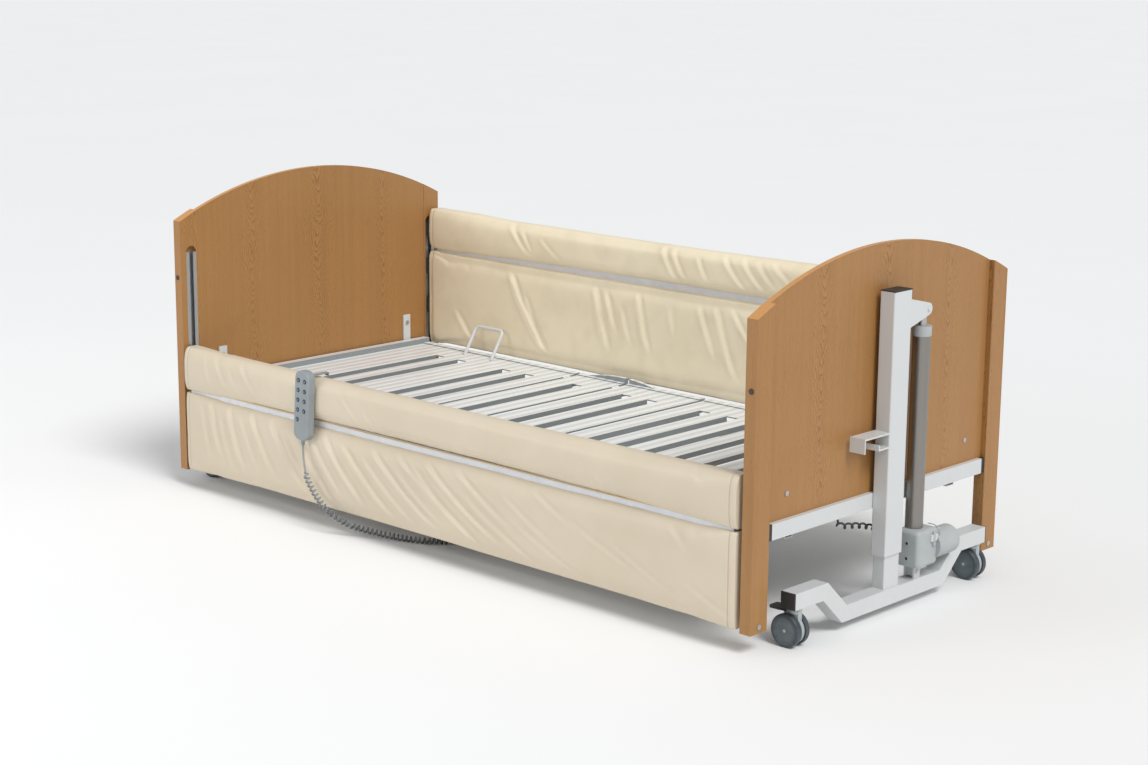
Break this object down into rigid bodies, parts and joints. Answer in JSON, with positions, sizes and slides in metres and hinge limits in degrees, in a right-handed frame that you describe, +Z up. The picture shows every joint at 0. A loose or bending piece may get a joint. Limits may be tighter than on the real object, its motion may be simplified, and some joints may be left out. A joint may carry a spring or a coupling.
{
  "type": "adjustable hospital bed",
  "caption": "Adjustable hospital bed with arched wooden end boards, padded sliding side rails, a sectioned tilting platform and lift columns on castors.",
  "frame": {"origin": "centre of the bed's footprint at the floor", "axes": "+X towards the foot end, +Y away from the side with the hand control, +Z up"},
  "size_m": [2.28, 1.0702, 0.896],
  "materials": {
    "painted_steel": "white powder coat",
    "grey_plastic": "fine moulded",
    "aluminium": "anodised satin",
    "bright_steel": "zinc plated",
    "black_plastic": "moulded",
    "wood_veneer": "satin varnish over cathedral oak grain",
    "brown_plastic": "moulded",
    "cream_vinyl": "coated cover over foam",
    "handset_grey": "fine moulded",
    "button_blue": "smooth",
    "cord_grey": "satin",
    "cable_dark": "satin",
    "castor_slate": "moulded"
  },
  "bodies": {
    "foot_base": {"foot_base_frame": "painted_steel", "foot_base_caps": "black_plastic", "foot_lift_motor": "grey_plastic", "foot_lift_tube": "aluminium", "motor_cable": "cable_dark"},
    "head_base": {"head_base_frame": "painted_steel", "head_base_caps": "black_plastic", "head_lift_motor": "grey_plastic", "head_lift_tube": "aluminium"},
    "bed_frame": {"foot_column": "painted_steel", "head_column": "painted_steel", "lift_rods": "bright_steel", "end_crossbars": "painted_steel", "frame_end_plugs": "black_plastic", "head_panel": "wood_veneer", "foot_panel": "wood_veneer", "end_board_posts": "painted_steel", "rail_channels": "bright_steel", "post_plugs": "brown_plastic", "end_board_bolts": "bright_steel", "chassis_frame": "painted_steel", "panel_brackets": "painted_steel", "seat_section": "painted_steel", "control_box": "grey_plastic", "platform_actuators": "grey_plastic"},
    "backrest": {"backrest_section": "painted_steel", "mattress_retainer": "painted_steel"},
    "thigh": {"thigh_section": "painted_steel"},
    "calf": {"calf_section": "painted_steel"},
    "backrest_push_rod": {"backrest_rod": "bright_steel"},
    "knee_push_rod": {"knee_rod": "bright_steel"},
    "near_rail": {"near_rail_bars": "painted_steel", "near_rail_slides": "black_plastic", "near_upper_pad": "cream_vinyl", "near_lower_pad": "cream_vinyl", "handset_shell": "handset_grey", "handset_cord_lead": "cord_grey", "handset_cord_coil": "cord_grey"},
    "far_rail": {"far_rail_bars": "painted_steel", "far_rail_slides": "black_plastic", "far_upper_pad": "cream_vinyl", "far_lower_pad": "cream_vinyl"},
    "brake_lever": {"brake_pedal": "black_plastic"},
    "button_1": {"handset_button_1": "button_blue"},
    "button_2": {"handset_button_2": "button_blue"},
    "button_3": {"handset_button_3": "button_blue"},
    "button_4": {"handset_button_4": "button_blue"},
    "button_5": {"handset_button_5": "button_blue"},
    "button_6": {"handset_button_6": "button_blue"},
    "button_7": {"handset_button_7": "button_blue"},
    "button_8": {"handset_button_8": "button_blue"},
    "button_9": {"handset_button_9": "button_blue"},
    "foot_near_castor_swivel": {"foot_near_castor_hood": "castor_slate"},
    "foot_near_castor_roll": {"foot_near_castor_wheels": "castor_slate"},
    "foot_far_castor_swivel": {"foot_far_castor_hood": "castor_slate"},
    "foot_far_castor_roll": {"foot_far_castor_wheels": "castor_slate"},
    "head_near_castor_swivel": {"head_near_castor_hood": "castor_slate"},
    "head_near_castor_roll": {"head_near_castor_wheels": "castor_slate"},
    "head_far_castor_swivel": {"head_far_castor_hood": "castor_slate"},
    "head_far_castor_roll": {"head_far_castor_wheels": "castor_slate"}
  },
  "joints": [
    {"name": "height_lift", "type": "slide", "parent": "foot_base", "child": "bed_frame", "axis": [0, 0, 1], "range_m": [0, 0.4], "deforming": ["motor_cable"]},
    {"name": "head_lift", "type": "slide", "parent": "bed_frame", "child": "head_base", "axis": [0, 0, -1], "range_m": [0, 0.4]},
    {"name": "backrest_hinge", "type": "hinge", "parent": "bed_frame", "child": "backrest", "pos_m": [-0.337, 0, 0.3], "axis": [0, 1, 0], "range_deg": [0, 70]},
    {"name": "thigh_hinge", "type": "hinge", "parent": "bed_frame", "child": "thigh", "pos_m": [-0.143, 0, 0.3], "axis": [0, -1, 0], "range_deg": [0, 35]},
    {"name": "calf_hinge", "type": "hinge", "parent": "thigh", "child": "calf", "pos_m": [0.15, 0, 0.284], "axis": [0, 1, 0], "range_deg": [0, 46.2]},
    {"name": "backrest_push", "type": "slide", "parent": "bed_frame", "child": "backrest_push_rod", "axis": [-1, 0, 0], "range_m": [0, 0.127]},
    {"name": "knee_push", "type": "slide", "parent": "bed_frame", "child": "knee_push_rod", "axis": [1, 0, 0], "range_m": [0, 0.067]},
    {"name": "near_rail_slide", "type": "slide", "parent": "bed_frame", "child": "near_rail", "axis": [0, 0, 1], "range_m": [0, 0.31], "deforming": ["handset_cord_coil", "handset_cord_lead"]},
    {"name": "far_rail_slide", "type": "slide", "parent": "bed_frame", "child": "far_rail", "axis": [0, 0, 1], "range_m": [-0.3, 0]},
    {"name": "button_1_press", "type": "slide", "parent": "near_rail", "child": "button_1", "axis": [0, 1, 0], "range_m": [0, 0.001], "stiffness_N_per_m": 600},
    {"name": "button_2_press", "type": "slide", "parent": "near_rail", "child": "button_2", "axis": [0, 1, 0], "range_m": [0, 0.001], "stiffness_N_per_m": 600},
    {"name": "button_3_press", "type": "slide", "parent": "near_rail", "child": "button_3", "axis": [0, 1, 0], "range_m": [0, 0.001], "stiffness_N_per_m": 600},
    {"name": "button_4_press", "type": "slide", "parent": "near_rail", "child": "button_4", "axis": [0, 1, 0], "range_m": [0, 0.001], "stiffness_N_per_m": 600},
    {"name": "button_5_press", "type": "slide", "parent": "near_rail", "child": "button_5", "axis": [0, 1, 0], "range_m": [0, 0.001], "stiffness_N_per_m": 600},
    {"name": "button_6_press", "type": "slide", "parent": "near_rail", "child": "button_6", "axis": [0, 1, 0], "range_m": [0, 0.001], "stiffness_N_per_m": 600},
    {"name": "button_7_press", "type": "slide", "parent": "near_rail", "child": "button_7", "axis": [0, 1, 0], "range_m": [0, 0.001], "stiffness_N_per_m": 600},
    {"name": "button_8_press", "type": "slide", "parent": "near_rail", "child": "button_8", "axis": [0, 1, 0], "range_m": [0, 0.001], "stiffness_N_per_m": 600},
    {"name": "button_9_press", "type": "slide", "parent": "near_rail", "child": "button_9", "axis": [0, 1, 0], "range_m": [0, 0.001], "stiffness_N_per_m": 600},
    {"name": "foot_near_swivel", "type": "hinge", "parent": "foot_base", "child": "foot_near_castor_swivel", "pos_m": [1.09, -0.366, 0.1], "axis": [0, 0, 1], "continuous": true},
    {"name": "foot_near_roll", "type": "hinge", "parent": "foot_near_castor_swivel", "child": "foot_near_castor_roll", "pos_m": [1.076, -0.366, 0.04], "axis": [0, 1, 0], "continuous": true},
    {"name": "foot_far_swivel", "type": "hinge", "parent": "foot_base", "child": "foot_far_castor_swivel", "pos_m": [1.09, 0.366, 0.1], "axis": [0, 0, 1], "continuous": true},
    {"name": "foot_far_roll", "type": "hinge", "parent": "foot_far_castor_swivel", "child": "foot_far_castor_roll", "pos_m": [1.076, 0.366, 0.04], "axis": [0, 1, 0], "continuous": true},
    {"name": "head_near_swivel", "type": "hinge", "parent": "head_base", "child": "head_near_castor_swivel", "pos_m": [-1.09, -0.366, 0.1], "axis": [0, 0, 1], "continuous": true},
    {"name": "head_near_roll", "type": "hinge", "parent": "head_near_castor_swivel", "child": "head_near_castor_roll", "pos_m": [-1.076, -0.366, 0.04], "axis": [0, 1, 0], "continuous": true},
    {"name": "head_far_swivel", "type": "hinge", "parent": "head_base", "child": "head_far_castor_swivel", "pos_m": [-1.09, 0.366, 0.1], "axis": [0, 0, 1], "continuous": true},
    {"name": "head_far_roll", "type": "hinge", "parent": "head_far_castor_swivel", "child": "head_far_castor_roll", "pos_m": [-1.076, 0.366, 0.04], "axis": [0, 1, 0], "continuous": true},
    {"name": "brake_press", "type": "hinge", "parent": "foot_near_castor_swivel", "child": "brake_lever", "pos_m": [1.066, -0.366, 0.0865], "axis": [0, -1, 0], "range_deg": [0, 12]}
  ],
  "couplings": [
    {"joint": "head_lift", "follows": "height_lift", "ratio": 1},
    {"joint": "calf_hinge", "follows": "thigh_hinge", "ratio": 1.3182},
    {"joint": "backrest_push", "follows": "backrest_hinge", "m_per_rad": 0.10329},
    {"joint": "knee_push", "follows": "thigh_hinge", "m_per_rad": 0.1083}
  ]
}
